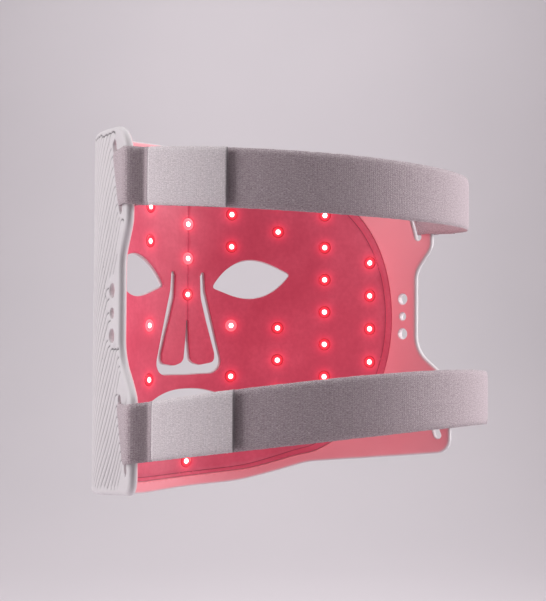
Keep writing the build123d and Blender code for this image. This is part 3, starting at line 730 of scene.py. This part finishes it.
# --- nose flap pieces
def flap(name, loop, cut_z, w0, w1, r, leds=(), seam=False):
    """A small flap layer; the edges at the heights in cut_z stay square."""
    loops = [loop] + [circle(u, z, WINDOW_SEAT) for u, z in leds]
    rings = offset_rings(loops, (0.1, 0.3, 0.7, OPENING_R) if r > 1 else (0.12, PAD_R), loops)
    for u, z in leds:
        for rr in (3.95, 4.7, 6.0):
            ring = circle(u, z, rr, 28)
            rings.append(ring[inside(ring, loops)])
    if seam:
        line = np.array([(0.0, z) for z in np.arange(LOBE_Z + 0.3, ROOT_Z - 0.2, 0.9)])
        line = np.vstack([line, line + [0.24, 0], line - [0.24, 0]])
        rings.append(line[inside(line, loops) & (distance_to(line, loops) > 0.15)])
    grid = lattice(loops, 1.8)
    grid = thin(grid[inside(grid, loops)], np.vstack(loops + rings), 0.9)
    uz, tri = triangulate(loops, np.vstack(rings + [grid]))
    tri = tri[inside(uz[tri].mean(1), loops)]
    a, b = loop, np.roll(loop, -1, 0)
    square = np.zeros(len(a), bool)
    for z in cut_z:
        square |= (np.abs(a[:, 1] - z) < 0.02) & (np.abs(b[:, 1] - z) < 0.02)
    d = segments_distance(uz, a[~square], b[~square])
    cut = np.zeros(len(uz))
    if seam:
        cut = np.where((np.abs(uz[:, 0]) < 0.05) & (distance_to(uz, loops) > 0.1), 0.3, 0.0)
    if r > 1:
        pos, faces, flag, both = shell_of(uz, tri, w1 - bull(d, r), w0 + bull(d, r), walls=False)
    else:
        pos, faces, flag, both = shell_of(uz, tri, np.full(len(uz), w1), w0 + bull(d, r) + cut)
    # near: painted diode light round each diode, which the pad material turns into glow
    near, wide = glow_at(both)
    # groove: depth of the seam, painted as shade by the pad material
    attrs = {"near": near, "lit": wide, "inner": flag, "groove": np.concatenate([cut * 2] * 2)}
    return piece(name, pos, faces, attrs, normals_of(pos, faces))


def tongue_loop(inset=0.0):
    right = tongue_side(inset)
    low = resample(np.array([right[-1], right[-1] * [-1, 1]]), 0.9, closed=False)[1:-1]
    top = resample(np.array([right[0] * [-1, 1], right[0]]), 0.9, closed=False)[1:-1]
    return np.vstack([right, low, (right * [-1, 1])[::-1], top])


def bend_flap(ob, node):
    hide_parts(node)
    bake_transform(ob)
    return ob


tongue_shell = bend_flap(
    flap("tongue_outer", tongue_loop(), (ROOT_Z, LOBE_Z), POCKET_FLOOR, WALL_OUT, OPENING_R),
    "tongue_shell")
tongue_pad = bend_flap(
    flap("tongue_inner", tongue_loop(0.4), (ROOT_Z, LOBE_Z), 0.0, PAD_OUT, PAD_R,
         [NOSE_LED], seam=True),
    "tongue_pad")
lobes = []
for side, word in ((1, "left"), (-1, "right")):
    lobes.append(bend_flap(
        flap(f"lobe_outer_{word}", lobe_loop(side), (LOBE_Z,), POCKET_FLOOR, WALL_OUT, OPENING_R),
        f"lobe_shell_{word}"))
    lobes.append(bend_flap(
        flap(f"lobe_inner_{word}", lobe_loop(side, 0.4), (LOBE_Z,), 0.0, PAD_OUT, PAD_R),
        f"lobe_pad_{word}"))


# --- LED windows
def lenses(name, spots, body, node):
    """Slightly domed windows, with the distance from the diode kept on each point."""
    radii = (0.0, 0.5, 0.9, 1.2, 1.5, 1.9, 2.4, 3.0, 3.45, 3.62, WINDOW_R)
    n = 32
    pos, faces, reach = [], [], []
    at = 0
    for u, z in spots:
        grid, dist = [(u, z, -0.16)], [0.0]
        for r in radii[1:]:
            w = -0.16 + 0.2 * (r / WINDOW_R) ** 2 + 0.1 * ((r > 3.6) + (r > 3.65))
            grid += [(*p, w) for p in circle(u, z, r, n)]
            dist += [r] * n
        grid += [(*p, 0.42) for p in circle(u, z, WINDOW_R, n)]
        dist += [3.7] * n
        grid = np.array(grid)
        pos.append(on_wall(grid[:, :2], grid[:, 2]))
        reach += dist
        k = len(radii)
        for i in range(n):
            j = (i + 1) % n
            faces.append((at, at + 1 + j, at + 1 + i))
            for ring in range(k - 1):
                a, b = at + 1 + ring * n, at + 1 + (ring + 1) * n
                faces.append((a + i, a + j, b + j, b + i))
        at += len(grid)
    ob = piece(name, np.vstack(pos), faces, {"reach": reach})
    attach(ob, body)
    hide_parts(node)
    return ob


plain = [p for p in FACE_LEDS if not is_ringed(*p)]
lens_face = lenses("lens_face", plain, "mask", "windows_face")
lens_deep = lenses("lens_ringed", [p for p in FACE_LEDS if is_ringed(*p)], "mask", "windows_ringed")
lens_left = lenses("lens_left", WING_LEDS, "left_wing", "windows_left_wing")
lens_right = lenses("lens_right", RIGHT_LEDS, "right_wing", "windows_right_wing")
lens_nose = lenses("lens_nose", [NOSE_LED], "nose_tongue", "window_nose")


# --- straps
STRAP_WIDE, STRAP_THICK = 25.0, 1.5
STRAP_IN_W, STRAP_OUT_W = -0.45, 5.45
STRAP_BEND_R, TAB_LIFT, SEWN = 14.0, 2.7, 17.0


for s in STRAPS.values():
    # loop round the head, tangent to the bend that leaves the wing
    x, y, h = (float(v) for v in wall_xy(s["leave_u"], STRAP_IN_W))
    cx, cy = x - STRAP_BEND_R * math.sin(h), y + STRAP_BEND_R * math.cos(h)
    reach = s["back_y"] - STRAP_BEND_R
    s["loop_y"] = (reach ** 2 - cx ** 2 - cy ** 2) / (2 * (reach - cy))
    s["loop_r"] = s["back_y"] - s["loop_y"]
    s["bend"] = (cx, cy, h)
    s["loop_from"] = math.atan2(cy - s["loop_y"], cx)
    x, y, _ = (float(v) for v in wall_xy(s["rim_u"] + 1.6, 0.0))
    s["land"] = math.atan2(y - s["loop_y"], x) + math.radians(1.2)


def loop_at(s, a, lift=0.0):
    r = s["loop_r"] + lift
    return np.stack([r * np.cos(a), s["loop_y"] + r * np.sin(a)], -1)


def strap_z(s, y):
    return s["z"] + s["rise"] * (np.maximum(y, s["level_y"]) - s["level_y"])


def fold_u(s, z):
    """Where the strap turns through its slot, at each height."""
    lean = math.tan(math.radians(s["lean"]))
    return float(wall_u(wall_y(s["slot_u"]) - lean * (z - s["slot_z"])))


def smooth_plan(knots, n):
    """Catmull-Rom curve through plan points, resampled to n points."""
    p = np.vstack([2 * knots[0] - knots[1], knots, 2 * knots[-1] - knots[-2]])
    out = []
    for i in range(1, len(p) - 2):
        t = np.linspace(0, 1, 14, endpoint=i == len(p) - 3)[:, None]
        a, b, c, d = p[i - 1:i + 3]
        out.append(0.5 * (2 * b + (c - a) * t + (2 * a - 5 * b + 4 * c - d) * t ** 2
                          + (3 * b - 3 * c + d - a) * t ** 3))
    return evenly(np.vstack(out), n)


def strap_row(s, v, tail):
    """Plan line of one thread of the strap, from the back of the head to its tail."""
    level_z = s["z"] + v
    uf = fold_u(s, level_z)
    cx, cy, h = s["bend"]
    rows = [loop_at(s, np.linspace(math.pi / 2, s["loop_from"], 90))]
    turn = np.linspace(s["loop_from"], h - math.pi / 2, 14)[1:]
    rows.append(np.stack([cx + STRAP_BEND_R * np.cos(turn), cy + STRAP_BEND_R * np.sin(turn)], 1))
    us = np.linspace(s["leave_u"], uf + 2.2, 16)[1:]
    rows.append(np.stack(wall_xy(us, STRAP_IN_W)[:2], 1))
    # through the slot and back over the bar behind it
    t = np.linspace(0, 1, 12)[1:-1]
    w = STRAP_IN_W + (STRAP_OUT_W - STRAP_IN_W) * t
    bulge = uf + 2.2 - 2.6 * np.sin(math.pi * t)
    rows.append(np.stack(wall_xy(bulge, w)[:2], 1))
    us = np.linspace(uf + 2.2, s["rim_u"] - 0.5, 16)
    rows.append(np.stack(wall_xy(us, STRAP_OUT_W)[:2], 1))
    # round the rim and down on to the loop
    over = np.stack(wall_xy(s["rim_u"] + 1.9, STRAP_OUT_W - 0.9)[:2])
    beside = np.stack(wall_xy(s["rim_u"] + 2.9, 2.4)[:2])
    knots = np.array([rows[-1][-1], over, beside, loop_at(s, s["land"] + 0.012, TAB_LIFT),
                      loop_at(s, s["land"] + math.radians(2.0), TAB_LIFT)])
    rows.append(smooth_plan(knots, 22)[1:])
    if tail:
        a0 = s["land"] + math.radians(2.0)
        rows.append(loop_at(s, np.linspace(a0, a0 + tail / s["loop_r"], 14)[1:], TAB_LIFT))
    return np.vstack(rows)


def webbing(name, s, rows, side, both_ends=True):
    """Webbing along plan lines, one for each of its threads across the width."""
    vs = np.linspace(-STRAP_WIDE / 2, STRAP_WIDE / 2, len(rows))
    lines = np.array(rows)
    m, n = lines.shape[:2]
    tang = np.gradient(lines, axis=1)
    norm = np.stack([tang[..., 1], -tang[..., 0]], -1)
    norm /= np.maximum(np.linalg.norm(norm, axis=-1), 1e-9)[..., None]
    run = length_along(lines[m // 2])
    z = strap_z(s, lines[..., 1]) + vs[:, None]
    z[0] += rng.normal(0, 0.05, n)
    z[-1] += rng.normal(0, 0.05, n)
    thin_edge = np.ones(m)
    thin_edge[[0, -1]] = 0.35
    thin_edge[[1, -2]] = 0.92
    half = STRAP_THICK / 2 * thin_edge[:, None, None]
    faces, pos, uv = [], [], []
    for sgn in (1, -1):
        xy = lines + sgn * norm * half
        pos.append(np.stack([side * xy[..., 0], xy[..., 1], z], -1).reshape(-1, 3))
        uv.append(np.stack(np.broadcast_arrays(run[None, :], vs[:, None]), -1).reshape(-1, 2))
    off = m * n
    for i in range(m - 1):
        for j in range(n - 1):
            a, b, c, d = i * n + j, i * n + j + 1, (i + 1) * n + j + 1, (i + 1) * n + j
            faces += [(a, b, c, d), (off + d, off + c, off + b, off + a)]
    for j in range(n - 1):
        for i in (0, m - 1):
            a, b = i * n + j, i * n + j + 1
            q = (a, off + a, off + b, b)
            faces.append(q if i == 0 else q[::-1])
    for j in ((0, n - 1) if both_ends else (n - 1,)):
        for i in range(m - 1):
            a, d = i * n + j, (i + 1) * n + j
            q = (a, d, off + d, off + a)
            faces.append(q if j == 0 else q[::-1])
    if side < 0:
        faces = [f[::-1] for f in faces]
    # cut: the last column of each strip, at its free end, where the material paints a dark line of
    # shade
    cut = np.tile(np.arange(n) == n - 1, 2 * m)
    return piece(name, np.vstack(pos) * MM, faces, {"cut": cut}, None, np.vstack(uv) * 0.1)


ROWS = (-1, -0.93, -0.8, -0.6, -0.4, -0.2, 0, 0.2, 0.4, 0.6, 0.8, 0.93, 1)
straps = []
for level, s in STRAPS.items():
    tab_from = s["land"] + math.radians(2.0)
    tab_to = tab_from + s["tab"] / s["loop_r"]
    for side, word in ((1, "left"), (-1, "right")):
        tail = 0.6 if side > 0 else SEWN
        rows = [strap_row(s, k * STRAP_WIDE / 2, tail) for k in ROWS]
        ob = webbing(f"{level}_band_{word}", s, rows, side, both_ends=False)
        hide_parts(f"{level}_strap_{word}", f"{level}_strap_back")
        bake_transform(ob)
        straps.append(ob)
    angles = np.linspace(tab_from + 0.7 / s["loop_r"], tab_to, 44)
    lift = TAB_LIFT - 0.45 * ((angles - tab_from) / (tab_to - tab_from)) ** 3
    tab = webbing(f"{level}_tab_end", s, [loop_at(s, angles, lift)] * len(ROWS), 1)
    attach(tab, f"{level}_tab")
    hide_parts(f"{level}_tab")
    straps.append(tab)


# --- materials
def rgb(r, g, b):
    """An sRGB colour, 0 to 255, as linear values."""
    return tuple((c / 12.92 if c <= 0.04045 else ((c + 0.055) / 1.055) ** 2.4)
                 for c in (r / 255, g / 255, b / 255)) + (1.0,)


def grey(v):
    return (v, v, v, 1.0)


class Mat:
    """A Principled material with short ways to add and link nodes."""

    def __init__(self, name):
        self.m = bpy.data.materials.new(name)
        self.m.use_nodes = True
        self.t = self.m.node_tree
        self.b = self.t.nodes["Principled BSDF"]

    def node(self, kind, inputs=None, **values):
        n = self.t.nodes.new(kind)
        for k, v in values.items():
            setattr(n, k, v)
        for k, v in (inputs or {}).items():
            n.inputs[k].default_value = v
        return n

    def link(self, a, b):
        self.t.links.new(a, b)

    def feed(self, **sources):
        """Link outputs to sockets of the shader, by the sockets' names."""
        for k, v in sources.items():
            self.link(v, self.b.inputs[k.replace("_", " ")])

    def set(self, **values):
        for k, v in values.items():
            self.b.inputs[k.replace("_", " ")].default_value = v
        return self

    def attr(self, name):
        return self.node("ShaderNodeAttribute", attribute_name=name).outputs["Fac"]

    def coords(self, which="Object"):
        return self.node("ShaderNodeTexCoord").outputs[which]

    def noise(self, scale, detail=3.0, rough=0.5, coords=None):
        n = self.node("ShaderNodeTexNoise",
                      inputs={"Scale": scale, "Detail": detail, "Roughness": rough})
        self.link(coords or self.coords(), n.inputs["Vector"])
        return n.outputs["Fac"]

    def stretched_noise(self, coords, scale):
        n = self.node("ShaderNodeMapping", inputs={"Scale": scale})
        self.link(coords, n.inputs["Vector"])
        return self.noise(1.0, 4, 0.7, coords=n.outputs[0])

    def ramp(self, fac, stops):
        n = self.node("ShaderNodeValToRGB")
        e = n.color_ramp.elements
        while len(e) < len(stops):
            e.new(0.5)
        for el, (p, c) in zip(e, stops):
            el.position, el.color = p, c
        self.link(fac, n.inputs["Fac"])
        return n.outputs["Color"]

    def mix(self, fac, a, b):
        n = self.node("ShaderNodeMix", data_type="RGBA")
        for socket, v in ((n.inputs["Factor"], fac), (n.inputs["A"], a), (n.inputs["B"], b)):
            if isinstance(v, (int, float, tuple)):
                socket.default_value = v
            else:
                self.link(v, socket)
        return n.outputs["Result"]

    def math(self, op, a, b=0.0, clamp=False):
        n = self.node("ShaderNodeMath", operation=op, use_clamp=clamp)
        for i, v in enumerate((a, b)):
            if isinstance(v, (int, float)):
                n.inputs[i].default_value = v
            else:
                self.link(v, n.inputs[i])
        return n.outputs[0]

    def mul(self, a, b, clamp=False):
        return self.math("MULTIPLY", a, b, clamp)

    def add(self, a, b):
        return self.math("ADD", a, b)

    def step(self, fac, low, high, a=0, b=1):
        """From grey a to grey b as fac goes from low to high."""
        return self.ramp(fac, [(low, grey(a)), (high, grey(b))])

    def bump(self, height, strength, distance):
        n = self.node("ShaderNodeBump", inputs={"Strength": strength, "Distance": distance})
        self.link(height, n.inputs["Height"])
        self.feed(Normal=n.outputs["Normal"])


def give(ob, mat):
    ob.data.materials.clear()
    ob.data.materials.append(mat.m)


def silicone_shell():
    m = Mat("white_silicone")
    m.set(Roughness=0.5, IOR=1.41, Coat_Weight=0.06, Coat_Roughness=0.35)
    inner, lit = m.attr("inner"), m.attr("lit")
    white = m.mix(m.noise(18, 3), rgb(212, 205, 208), rgb(199, 192, 196))
    # painted light: the inner flange of the white shell is tinted pink for the diodes' red light
    # falling on it
    painted_led_pink = m.mix(m.noise(30, 4), rgb(226, 138, 146), rgb(214, 124, 136))
    # painted shade: the grooves are darkened towards rgb(70, 62, 67) by their depth
    dark = m.mul(m.attr("groove"), 1.25, clamp=True)
    m.feed(Base_Color=m.mix(dark, m.mix(m.mul(inner, 0.86), white, painted_led_pink), rgb(70, 62, 67)))
    m.feed(Roughness=m.step(m.noise(220, 2), 0.3, 0.7, 0.44, 0.56))
    # painted light: the inner flange glows faintly pink, more strongly near the diodes
    m.set(Emission_Color=rgb(228, 112, 130))
    m.feed(Emission_Strength=m.mul(inner, m.add(m.mul(lit, 0.25), 0.15)))
    m.bump(m.noise(900, 2), 0.12, 0.0002)
    return m


def silicone_pad():
    m = Mat("lit_pad_silicone")
    m.set(Roughness=0.46, IOR=1.41, Coat_Weight=0.05, Coat_Roughness=0.4)
    near = m.attr("near")
    base = m.mix(m.step(m.noise(34, 5, 0.6), 0.32, 0.68), rgb(184, 76, 97), rgb(203, 95, 116))
    fine = m.mix(m.step(m.noise(420, 2), 0.35, 0.65), base, rgb(170, 60, 82))
    base = m.mix(0.25, base, fine)
    # painted shade: the seal groove and the middle seam are darkened towards rgb(88, 22, 40), in
    # colour and in glow
    dark = m.mul(m.attr("groove"), 0.85, clamp=True)
    m.feed(Base_Color=m.mix(dark, base, rgb(88, 22, 40)))
    painted_pad_glow = m.mix(dark, rgb(206, 66, 96), rgb(88, 22, 40))
    # painted light: the whole pad glows red, brighter and redder round each diode, for diode light
    # spread through the silicone
    m.feed(Emission_Color=m.mix(m.mul(near, 1.0, clamp=True), painted_pad_glow, rgb(255, 34, 54)))
    m.feed(Emission_Strength=m.add(m.mul(near, 0.60), 0.20))
    m.bump(m.noise(700, 2), 0.10, 0.0002)
    return m


def lens(name, ringed):
    m = Mat(name)
    m.set(Roughness=0.22, IOR=1.41)
    t = m.math("DIVIDE", m.attr("reach"), 3.7)
    rim = rgb(236, 120, 134) if ringed else rgb(190, 52, 74)
    halo = (1.0, 0.20, 0.25, 1) if ringed else (1.0, 0.035, 0.06, 1)
    floor = 0.075 if ringed else 0.03
    m.feed(Base_Color=m.ramp(t, [
        (0.0, rgb(255, 240, 240)), (0.33, rgb(255, 190, 190)), (0.5, rgb(236, 60, 76)),
        (0.9, rim), (0.955, rim), (0.985, rgb(120, 36, 52))]))
    m.feed(Emission_Color=m.ramp(t, [
        (0.0, (1, 0.93, 0.92, 1)), (0.29, (1, 0.86, 0.85, 1)), (0.40, (1, 0.10, 0.12, 1)),
        (0.6, halo), (1.0, halo)]))
    power = m.ramp(t, [(0.0, grey(1)), (0.29, grey(0.9)), (0.41, grey(0.22)),
                       (0.65, grey(max(floor, 0.07))), (1.0, grey(floor))])
    m.feed(Emission_Strength=m.mul(power, 9.0))
    return m


def elastic(name, light, dark):
    """Woven elastic: fine ribs across the band and marled yarn along it."""
    m = Mat(name)
    m.set(Roughness=0.92, Sheen_Weight=0.25, Sheen_Roughness=0.5, IOR=1.45, Specular_IOR_Level=0.2)
    uv = m.coords("UV")
    split = m.node("ShaderNodeSeparateXYZ")
    m.link(uv, split.inputs[0])
    x, y = split.outputs[0], split.outputs[1]
    waver = m.mul(m.noise(9, 2, coords=uv), 3.0)
    ribs = m.math("SINE", m.add(m.mul(x, 2 * math.pi * 10 / 0.95), waver))
    picks = m.math("SINE", m.mul(y, 2 * math.pi * 10 / 0.8))
    weave = m.mul(m.mul(ribs, picks), 0.34)
    height = m.add(m.mul(ribs, 0.20), weave)
    speck = m.stretched_noise(uv, (11.0, 30.0, 1.0))
    streak = m.stretched_noise(uv, (2.4, 24.0, 1.0))
    base = m.mix(m.step(speck, 0.36, 0.60), dark, light)
    base = m.mix(m.step(streak, 0.38, 0.55, 0.45, 0), base, dark)
    # painted shade: the weave is darker where its relief is low, in its hollows
    low = m.mul(m.math("SUBTRACT", 0.25, height), 0.45, clamp=True)
    base = m.mix(low, base, dark)
    # painted shade: each strip's free end is darkened towards rgb(74, 62, 68)
    m.feed(Base_Color=m.mix(m.mul(m.attr("cut"), 0.85), base, rgb(74, 62, 68)))
    m.bump(m.add(height, m.mul(speck, 0.9)), 0.5, 0.0004)
    return m


def hooks():
    m = Mat("hook_tape")
    m.set(Roughness=0.75)
    v = m.node("ShaderNodeTexVoronoi", inputs={"Scale": 900.0})
    m.link(m.coords(), v.inputs["Vector"])
    pale, deep = rgb(150, 142, 148), rgb(88, 82, 88)
    m.feed(Base_Color=m.ramp(v.outputs["Distance"], [(0.1, pale), (0.6, deep)]))
    m.bump(v.outputs["Distance"], 0.7, 0.0004)
    return m


def grained(name, a, b, patches, relief, **values):
    """Two tones in soft patches, with a fine relief: (scale, strength, distance)."""
    m = Mat(name)
    m.set(**values)
    m.feed(Base_Color=m.mix(m.noise(*patches), a, b))
    m.bump(m.noise(relief[0], 2), *relief[1:])
    return m


def moulded(name, a, b, rough):
    m = grained(name, a, b, (80, 3), (1200, 0.12, 0.0002), Roughness=rough)
    m.feed(Roughness=m.step(m.noise(400, 2), 0.3, 0.7, rough - 0.05, rough + 0.08))
    return m


white, lit_pad = silicone_shell(), silicone_pad()
lens_plain, lens_ringed = lens("led_window", False), lens("led_window_ringed", True)
strap_mat = elastic("marled_elastic", rgb(212, 197, 203), rgb(144, 125, 132))
tab_mat = elastic("marled_elastic_face", rgb(244, 234, 238), rgb(190, 178, 183))
package = moulded("led_package", rgb(246, 238, 226), rgb(232, 224, 212), 0.4)
port_shell = moulded("port_silicone", rgb(214, 206, 210), rgb(200, 192, 197), 0.5)
port_plastic = moulded("port_plastic", rgb(52, 50, 54), rgb(38, 37, 41), 0.38)
hook_mat = hooks()
thread_mat = grained("stitch_thread", rgb(176, 168, 175), rgb(132, 124, 131), (1500, 2),
                     (2500, 0.4, 0.0002), Roughness=0.7, Sheen_Weight=0.3)
film_mat = grained("flexible_circuit", rgb(178, 92, 60), rgb(150, 70, 48), (60, 3),
                   (300, 0.2, 0.0002), Roughness=0.4)
contact_mat = grained("plated_contacts", rgb(222, 190, 120), rgb(196, 160, 96), (500, 3),
                      (1500, 0.1, 0.0001), Metallic=1.0, Roughness=0.28)

for ob in shell_pieces + [tongue_shell, lobes[0], lobes[2]]:
    give(ob, white)
for ob in pad_pieces + [tongue_pad, lobes[1], lobes[3]]:
    give(ob, lit_pad)
for ob in (lens_face, lens_left, lens_right, lens_nose):
    give(ob, lens_plain)
give(lens_deep, lens_ringed)
for ob in straps:
    give(ob, tab_mat if ob.name.endswith("tab_end") else strap_mat)
for key, mat in (("led", package), ("circuit", film_mat), ("hook", hook_mat),
                 ("stitch", thread_mat), ("port_housing", port_shell),
                 ("port_socket", port_plastic), ("port_contacts", contact_mat)):
    for name, ob in NODES.items():
        if key in name:
            give(ob, mat)


# --- stage
F = Vector((-0.6223, -0.7828, 0)).normalized()
R = Vector((F.y, -F.x, 0))
U = Vector((0, 0, 1))
FLOOR_Z, FLOOR_FROM, COVE_FROM, COVE_R, WALL_TOP, HALF_WIDTH = -0.55, -2.2, 1.3, 1.2, 3.2, 3.2


def backdrop():
    """A pale floor that curves up into a wall behind the mask."""
    fwd = Vector((-0.6223, -0.7828))
    across = Vector((-fwd.y, fwd.x))
    profile = [(FLOOR_FROM, FLOOR_Z), (COVE_FROM, FLOOR_Z)]
    for k in range(1, 13):
        a = math.radians(7.5 * k)
        profile.append((COVE_FROM + COVE_R * math.sin(a), FLOOR_Z + COVE_R * (1 - math.cos(a))))
    profile.append((COVE_FROM + COVE_R, WALL_TOP))
    verts, faces = [], []
    for x, z in profile:
        for k in (-HALF_WIDTH, HALF_WIDTH):
            p = fwd * x + across * k
            verts.append((p.x, p.y, z))
    for i in range(len(profile) - 1):
        a = 2 * i
        faces.append((a, a + 1, a + 3, a + 2))
    ob = piece("studio_floor", verts, faces)
    m = Mat("floor_paper")
    m.set(Roughness=0.9, Specular_IOR_Level=0.1)
    m.feed(Base_Color=m.mix(m.noise(2, 2), rgb(222, 214, 219), rgb(216, 209, 214)))
    give(ob, m)


backdrop()


def aim(ob, target):
    d = Vector(target) - ob.location
    ob.rotation_euler = d.to_track_quat("-Z", "Y").to_euler()


def lamp(name, kind, at, **values):
    light = bpy.data.lights.new(name, kind)
    for key, value in values.items():
        setattr(light, key, value)
    ob = bpy.data.objects.new(name, light)
    ob.location = at
    bpy.context.scene.collection.objects.link(ob)
    return ob


def softbox(name, at, target, size, watts):
    aim(lamp(name, "AREA", at, shape="RECTANGLE", energy=watts,
             size=size[0], size_y=size[1]), target)


CAMERA_AT = Vector((0.28083, 0.43580, -0.0250))
PITCH, ROLL = math.radians(1.268), math.radians(0.386)
centre = Vector((0, 0.07, -0.025))
softbox("left_box", centre - R * 1.0 - F * 0.32 + U * 0.25, centre, (0.6, 1.1), 11.0)
softbox("right_box", centre + R * 0.95 + F * 0.06 + U * 0.25, centre, (0.6, 1.1), 14.5)
softbox("top_box", centre + U * 1.1 - F * 0.1, centre, (1.0, 1.0), 7.0)
softbox("wall_wash", centre + F * 1.0 + U * 1.5, centre + F * 2.4 - U * 0.1, (2.5, 1.2), 28.0)

for name, at in (("glow_brow", (0.0, 0.045, 0.035)), ("glow_cheek", (0.035, 0.055, -0.045)),
                 ("glow_far_cheek", (-0.035, 0.055, -0.045)), ("glow_chin", (0.0, 0.045, -0.095))):
    lamp(name, "POINT", at, energy=0.012, color=(1.0, 0.12, 0.18), shadow_soft_size=0.03)

world = bpy.data.worlds.new("studio")
bpy.context.scene.world = world
world.use_nodes = True
sky = world.node_tree.nodes["Background"].inputs
sky["Color"].default_value, sky["Strength"].default_value = (0.80, 0.76, 0.79, 1), 0.12
bpy.context.scene.view_settings.view_transform = "Standard"

# --- camera
F2 = F * math.cos(PITCH) + U * math.sin(PITCH)
U2 = U * math.cos(PITCH) - F * math.sin(PITCH)
R3 = R * math.cos(ROLL) + U2 * math.sin(ROLL)
U3 = U2 * math.cos(ROLL) - R * math.sin(ROLL)
cam_data = bpy.data.cameras.new("camera")
cam_data.lens, cam_data.sensor_width = 51.38, 36.0
cam_data.clip_start = 0.01
cam = bpy.data.objects.new("camera", cam_data)
turn = Matrix((R3, U3, -F2)).transposed().to_4x4()
cam.matrix_world = Matrix.Translation(CAMERA_AT) @ turn
bpy.context.scene.collection.objects.link(cam)
bpy.context.scene.camera = cam
